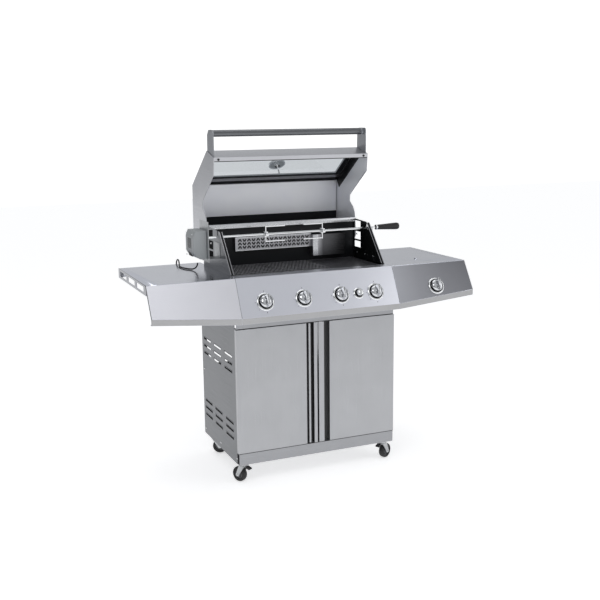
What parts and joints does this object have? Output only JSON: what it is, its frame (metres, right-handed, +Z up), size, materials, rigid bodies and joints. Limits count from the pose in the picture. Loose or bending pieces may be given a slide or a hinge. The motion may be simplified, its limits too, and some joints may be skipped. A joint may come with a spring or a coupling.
{
  "type": "gas barbecue grill",
  "caption": "Gas barbecue on a wheeled two-door cabinet, side shelves, side burner, open windowed lid and a motor-driven rotisserie spit.",
  "frame": {"origin": "on the floor under the middle of the grill, worked out with the lid open and the mains lead left out", "axes": "+X to the right seen from the front, +Y to the rear (the doors and knobs face -Y), +Z up"},
  "size_m": [1.4492, 0.6628, 1.4662],
  "materials": {
    "brushed_sheet": "brushed stainless sheet, fine horizontal grain",
    "polished_sheet": "near-mirror stainless sheet, faint grain",
    "galvanised": "dull zinc-plated steel",
    "chrome": "bright chrome plate",
    "black_enamel": "satin black vitreous enamel on steel",
    "cast_iron": "matt black enamelled cast iron",
    "black_plastic": "satin black moulded plastic",
    "black_rubber": "matt black rubber",
    "grey_paint": "light grey satin paint",
    "glass": "clear toughened glass"
  },
  "bodies": {
    "grill": {"base_panel": "brushed_sheet", "side_panel_left": "brushed_sheet", "side_panel_right": "brushed_sheet", "back_panel": "brushed_sheet", "front_rail": "brushed_sheet", "control_panel": "brushed_sheet", "shelf_left": "polished_sheet", "shelf_right": "polished_sheet", "side_burner_pan": "black_enamel", "side_burner_trivet": "cast_iron", "firebox_side_left": "black_enamel", "firebox_side_right": "black_enamel", "firebox_tub": "black_enamel", "burner_tube_1": "galvanised", "heat_tent_1": "galvanised", "burner_tube_2": "galvanised", "heat_tent_2": "galvanised", "burner_tube_3": "galvanised", "heat_tent_3": "galvanised", "gas_manifold": "galvanised", "grate_left": "cast_iron", "grate_centre": "cast_iron", "griddle": "cast_iron", "rear_burner": "brushed_sheet", "burner_shield": "polished_sheet", "motor_bracket": "galvanised", "motor_housing": "grey_paint", "strain_relief": "black_plastic", "mains_lead": "black_plastic", "cord_coil": "black_plastic", "mains_plug": "black_plastic"},
    "lid": {"lid_shell": "brushed_sheet", "lid_window": "glass", "thermometer": "chrome", "lid_handle": "brushed_sheet"},
    "left_door": {"door_left": "brushed_sheet"},
    "right_door": {"door_right": "brushed_sheet"},
    "knob_one": {"knob_1": "chrome"},
    "knob_two": {"knob_2": "chrome"},
    "knob_three": {"knob_3": "chrome"},
    "knob_four": {"knob_4": "chrome"},
    "side_knob": {"knob_side_burner": "chrome"},
    "igniter": {"igniter_button": "chrome"},
    "side_lid": {"side_burner_lid": "polished_sheet"},
    "spit": {"spit_rod": "chrome", "spit_fork_left": "chrome", "spit_fork_right": "chrome", "spit_grip": "black_plastic"},
    "switch": {"motor_switch": "black_plastic"},
    "tray": {"grease_tray": "galvanised"},
    "swivel_front_left": {"caster_fork_front_left": "galvanised"},
    "wheel_front_left": {"caster_wheel_front_left": "black_rubber"},
    "swivel_front_right": {"caster_fork_front_right": "galvanised"},
    "wheel_front_right": {"caster_wheel_front_right": "black_rubber"},
    "swivel_rear_left": {"caster_fork_rear_left": "galvanised"},
    "wheel_rear_left": {"caster_wheel_rear_left": "black_rubber"},
    "swivel_rear_right": {"caster_fork_rear_right": "galvanised"},
    "wheel_rear_right": {"caster_wheel_rear_right": "black_rubber"},
    "brake_front_left": {"brake_lever_front_left": "black_plastic"},
    "brake_front_right": {"brake_lever_front_right": "black_plastic"}
  },
  "joints": [
    {"name": "lid_hinge", "type": "hinge", "parent": "grill", "child": "lid", "pos_m": [0, 0.1443, 0.985], "axis": [1, 0, 0], "range_deg": [0, 83.5]},
    {"name": "left_door_hinge", "type": "hinge", "parent": "grill", "child": "left_door", "pos_m": [-0.364, -0.2212, 0.404], "axis": [0, 0, 1], "range_deg": [-110, 0]},
    {"name": "right_door_hinge", "type": "hinge", "parent": "grill", "child": "right_door", "pos_m": [0.364, -0.2212, 0.404], "axis": [0, 0, 1], "range_deg": [0, 110]},
    {"name": "knob_one_turn", "type": "hinge", "parent": "grill", "child": "knob_one", "pos_m": [-0.247, -0.27671, 0.78316], "axis": [0, -0.8967, 0.4427], "range_deg": [0, 180]},
    {"name": "knob_two_turn", "type": "hinge", "parent": "grill", "child": "knob_two", "pos_m": [-0.078, -0.27671, 0.78316], "axis": [0, -0.8967, 0.4427], "range_deg": [0, 180]},
    {"name": "knob_three_turn", "type": "hinge", "parent": "grill", "child": "knob_three", "pos_m": [0.092, -0.27671, 0.78316], "axis": [0, -0.8967, 0.4427], "range_deg": [0, 180]},
    {"name": "knob_four_turn", "type": "hinge", "parent": "grill", "child": "knob_four", "pos_m": [0.254, -0.27671, 0.78316], "axis": [0, -0.8967, 0.4427], "range_deg": [0, 180]},
    {"name": "side_knob_turn", "type": "hinge", "parent": "grill", "child": "side_knob", "pos_m": [0.5495, -0.28129, 0.78556], "axis": [-0.0295, -0.8741, 0.4849], "range_deg": [0, 180]},
    {"name": "igniter_press", "type": "slide", "parent": "grill", "child": "igniter", "axis": [0, 0.8967, -0.4427], "range_m": [0, 0.005], "stiffness_N_per_m": 500, "springref_m": -0.002},
    {"name": "side_lid_hinge", "type": "hinge", "parent": "grill", "child": "side_lid", "pos_m": [0.552, 0.2048, 0.88], "axis": [1, 0, 0], "range_deg": [-30, 0]},
    {"name": "spit_turn", "type": "hinge", "parent": "grill", "child": "spit", "pos_m": [0, -0.0057, 1.023], "axis": [1, 0, 0], "continuous": true},
    {"name": "switch_rock", "type": "hinge", "parent": "grill", "child": "switch", "pos_m": [-0.4543, 0.0333, 0.9535], "axis": [0, 1, 0], "range_deg": [0, 12]},
    {"name": "tray_slide", "type": "slide", "parent": "grill", "child": "tray", "axis": [0, 1, 0], "range_m": [0, 0.25]},
    {"name": "swivel_turn_front_left", "type": "hinge", "parent": "grill", "child": "swivel_front_left", "pos_m": [-0.33, -0.2007, 0.08], "axis": [0, 0, 1], "continuous": true},
    {"name": "wheel_roll_front_left", "type": "hinge", "parent": "swivel_front_left", "child": "wheel_front_left", "pos_m": [-0.341, -0.18165, 0.0325], "axis": [-0.866, -0.5, 0], "continuous": true},
    {"name": "swivel_turn_front_right", "type": "hinge", "parent": "grill", "child": "swivel_front_right", "pos_m": [0.33, -0.2007, 0.08], "axis": [0, 0, 1], "continuous": true},
    {"name": "wheel_roll_front_right", "type": "hinge", "parent": "swivel_front_right", "child": "wheel_front_right", "pos_m": [0.3496, -0.19071, 0.0325], "axis": [-0.454, 0.891, 0], "continuous": true},
    {"name": "swivel_turn_rear_left", "type": "hinge", "parent": "grill", "child": "swivel_rear_left", "pos_m": [-0.33, 0.1893, 0.08], "axis": [0, 0, 1], "continuous": true},
    {"name": "wheel_roll_rear_left", "type": "hinge", "parent": "swivel_rear_left", "child": "wheel_rear_left", "pos_m": [-0.31006, 0.18, 0.0325], "axis": [0.4226, 0.9063, 0], "continuous": true},
    {"name": "swivel_turn_rear_right", "type": "hinge", "parent": "grill", "child": "swivel_rear_right", "pos_m": [0.33, 0.1893, 0.08], "axis": [0, 0, 1], "continuous": true},
    {"name": "wheel_roll_rear_right", "type": "hinge", "parent": "swivel_rear_right", "child": "wheel_rear_right", "pos_m": [0.3501, 0.19825, 0.0325], "axis": [-0.4067, 0.9135, 0], "continuous": true},
    {"name": "brake_press_front_left", "type": "hinge", "parent": "swivel_front_left", "child": "brake_front_left", "pos_m": [-0.32135, -0.21568, 0.069], "axis": [-0.866, -0.5, 0], "range_deg": [-12, 0]},
    {"name": "brake_press_front_right", "type": "hinge", "parent": "swivel_front_right", "child": "brake_front_right", "pos_m": [0.31459, -0.20855, 0.069], "axis": [-0.454, 0.891, 0], "range_deg": [-12, 0]}
  ]
}
